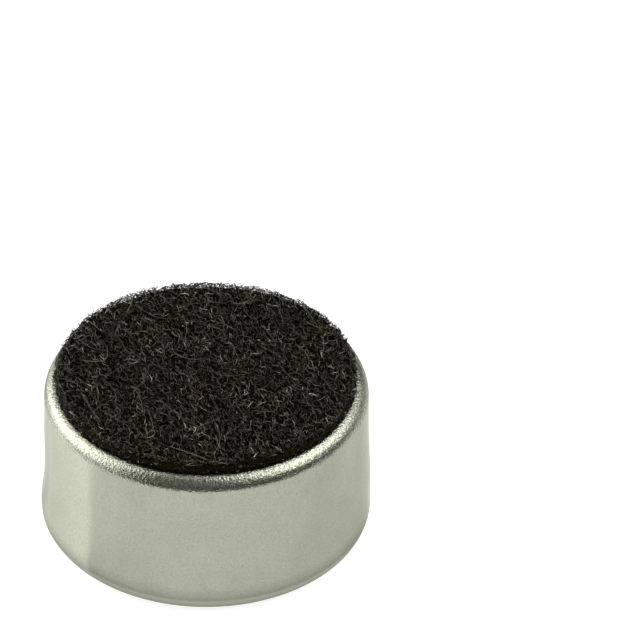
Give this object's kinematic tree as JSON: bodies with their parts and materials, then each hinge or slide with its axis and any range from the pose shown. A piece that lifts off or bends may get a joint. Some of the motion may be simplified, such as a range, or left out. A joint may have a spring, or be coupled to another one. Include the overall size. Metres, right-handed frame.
{
  "type": "electret microphone capsule",
  "caption": "Round electret microphone capsule: crimped aluminium can with a black felt front, a vented circuit board and two half-moon solder terminals behind.",
  "frame": {"origin": "on the can's axis, in the plane of the crest of the crimped rear rim that the capsule stands on", "axes": "+Z along the can's axis from the terminals to the felt; +X points to one of the vents, and the middle of the ground terminal lies 150 degrees round from it"},
  "size_m": [0.0098, 0.0098, 0.0053],
  "materials": {
    "felt": "matte black felt with grey fibres",
    "adhesive": "clear adhesive",
    "can_aluminium": "satin, grainy on the bends",
    "brass": "satin",
    "film": "metallised film",
    "spacer": "polyester film",
    "charged_film": "fluoropolymer film",
    "insulator": "moulded, matte",
    "screen": "porous non-woven",
    "board": "phenolic paper laminate",
    "tinned_copper": "tinned, scratched",
    "solder": "bright, mottled",
    "copper": "satin",
    "moulding": "matte epoxy",
    "lead_tin": "tinned",
    "chip_ceramic": "matte"
  },
  "bodies": {
    "root": {"dust_felt": "felt", "felt_adhesive": "adhesive", "can": "can_aluminium", "diaphragm_ring": "brass", "diaphragm": "film", "spacer_ring": "spacer", "electret_film": "charged_film", "back_plate": "brass", "holder_ring": "insulator", "contact_ring": "brass", "vent_screen": "screen", "circuit_board": "board", "ground_terminal": "tinned_copper", "output_terminal": "tinned_copper", "ground_solder": "solder", "output_solder": "solder", "ground_conductor": "copper", "output_conductor": "copper", "gate_track": "copper", "drain_track": "copper", "source_track": "copper", "transistor": "moulding", "gate_lead": "lead_tin", "drain_lead": "lead_tin", "source_lead": "lead_tin", "capacitor": "chip_ceramic", "capacitor_ends": "lead_tin", "inner_solder": "solder"}
  },
  "joints": []
}
